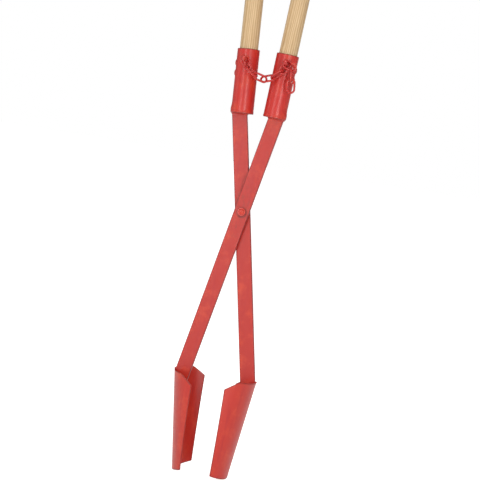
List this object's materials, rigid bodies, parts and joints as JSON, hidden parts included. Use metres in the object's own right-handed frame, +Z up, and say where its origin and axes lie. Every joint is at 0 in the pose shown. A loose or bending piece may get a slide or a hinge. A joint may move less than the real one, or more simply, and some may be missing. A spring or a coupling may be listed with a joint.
{
  "type": "post hole digger",
  "caption": "Scissor post hole digger: crossed flat steel arms on a pivot bolt, wooden handles in tube sockets, trough blades and a short limiting chain.",
  "frame": {"origin": "on the pivot bolt's axis, midway between the two crossed arms, where the tool hangs on a rack peg", "axes": "+Z up along the tool from the blades to the handles, -Y to the front (the bolt head's side), +X to the right seen from the front"},
  "size_m": [0.2468, 0.127, 2.0082],
  "materials": {
    "arm_paint": "satin red enamel on flat bar",
    "socket_paint": "satin red enamel on tube",
    "blade_paint": "satin red enamel on sheet steel",
    "chain_paint": "gloss red enamel on chain and hooks",
    "bolt_paint": "red enamel on bolt, washers, nut and screws",
    "ash_wood": "smooth bare straight-grained ash"
  },
  "bodies": {
    "front_half": {"front_arm": "arm_paint", "right_socket": "socket_paint", "right_handle": "ash_wood", "left_blade": "blade_paint", "pivot_bolt": "bolt_paint", "pivot_nut": "bolt_paint", "front_washer": "bolt_paint", "middle_washer": "bolt_paint", "back_washer": "bolt_paint", "right_upper_screw": "bolt_paint", "right_lower_screw": "bolt_paint", "right_hook": "chain_paint"},
    "back_half": {"back_arm": "arm_paint", "left_socket": "socket_paint", "left_handle": "ash_wood", "right_blade": "blade_paint", "left_upper_screw": "bolt_paint", "left_lower_screw": "bolt_paint", "left_hook": "chain_paint"},
    "link_1": {"chain_link_1": "chain_paint"},
    "link_2": {"chain_link_2": "chain_paint"},
    "link_3": {"chain_link_3": "chain_paint"},
    "link_4": {"chain_link_4": "chain_paint"},
    "link_5": {"chain_link_5": "chain_paint"},
    "link_6": {"chain_link_6": "chain_paint"},
    "link_7": {"chain_link_7": "chain_paint"},
    "link_8": {"chain_link_8": "chain_paint"},
    "link_9": {"chain_link_9": "chain_paint"}
  },
  "joints": [
    {"name": "spread", "type": "hinge", "parent": "front_half", "child": "back_half", "pos_m": [0, 0, 0], "axis": [0, -1, 0], "range_deg": [-6, 5]},
    {"name": "link_1_turn", "type": "hinge", "parent": "back_half", "child": "link_1", "pos_m": [-0.038, -0.0374, 0.309], "axis": [0, -1, 0], "range_deg": [-27.66, 23.1]},
    {"name": "link_2_turn", "type": "hinge", "parent": "link_1", "child": "link_2", "pos_m": [-0.02876, -0.0374, 0.29344], "axis": [0, -1, 0], "range_deg": [-5.5, 6.54]},
    {"name": "link_3_turn", "type": "hinge", "parent": "link_2", "child": "link_3", "pos_m": [-0.01134, -0.0374, 0.28017], "axis": [0, -1, 0], "range_deg": [-12.95, 15.48]},
    {"name": "link_6_turn", "type": "hinge", "parent": "front_half", "child": "link_6", "pos_m": [0.049, -0.0374, 0.312], "axis": [0, -1, 0], "range_deg": [-22.65, 27.12]},
    {"name": "link_5_turn", "type": "hinge", "parent": "link_6", "child": "link_5", "pos_m": [0.04135, -0.0374, 0.2956], "axis": [0, -1, 0], "range_deg": [-1.68, 1.45]},
    {"name": "link_4_turn", "type": "hinge", "parent": "link_5", "child": "link_4", "pos_m": [0.0247, -0.0374, 0.28137], "axis": [0, -1, 0], "range_deg": [-16.38, 13.7]},
    {"name": "link_7_turn", "type": "hinge", "parent": "front_half", "child": "link_7", "pos_m": [0.049, -0.0422, 0.312], "axis": [0, -1, 0], "range_deg": [0, 35]},
    {"name": "link_8_turn", "type": "hinge", "parent": "link_7", "child": "link_8", "pos_m": [0.06112, -0.0422, 0.30759], "axis": [0, -1, 0], "range_deg": [-3, 20]},
    {"name": "link_9_turn", "type": "hinge", "parent": "link_8", "child": "link_9", "pos_m": [0.06395, -0.0422, 0.28064], "axis": [0, -1, 0], "range_deg": [-15, 20]}
  ],
  "couplings": [
    {"joint": "link_1_turn", "follows": "spread", "ratio": 4.56},
    {"joint": "link_2_turn", "follows": "spread", "ratio": -1.04},
    {"joint": "link_3_turn", "follows": "spread", "ratio": -2.53},
    {"joint": "link_6_turn", "follows": "spread", "ratio": -4.47},
    {"joint": "link_5_turn", "follows": "spread", "ratio": 0.23},
    {"joint": "link_4_turn", "follows": "spread", "ratio": 2.68}
  ]
}
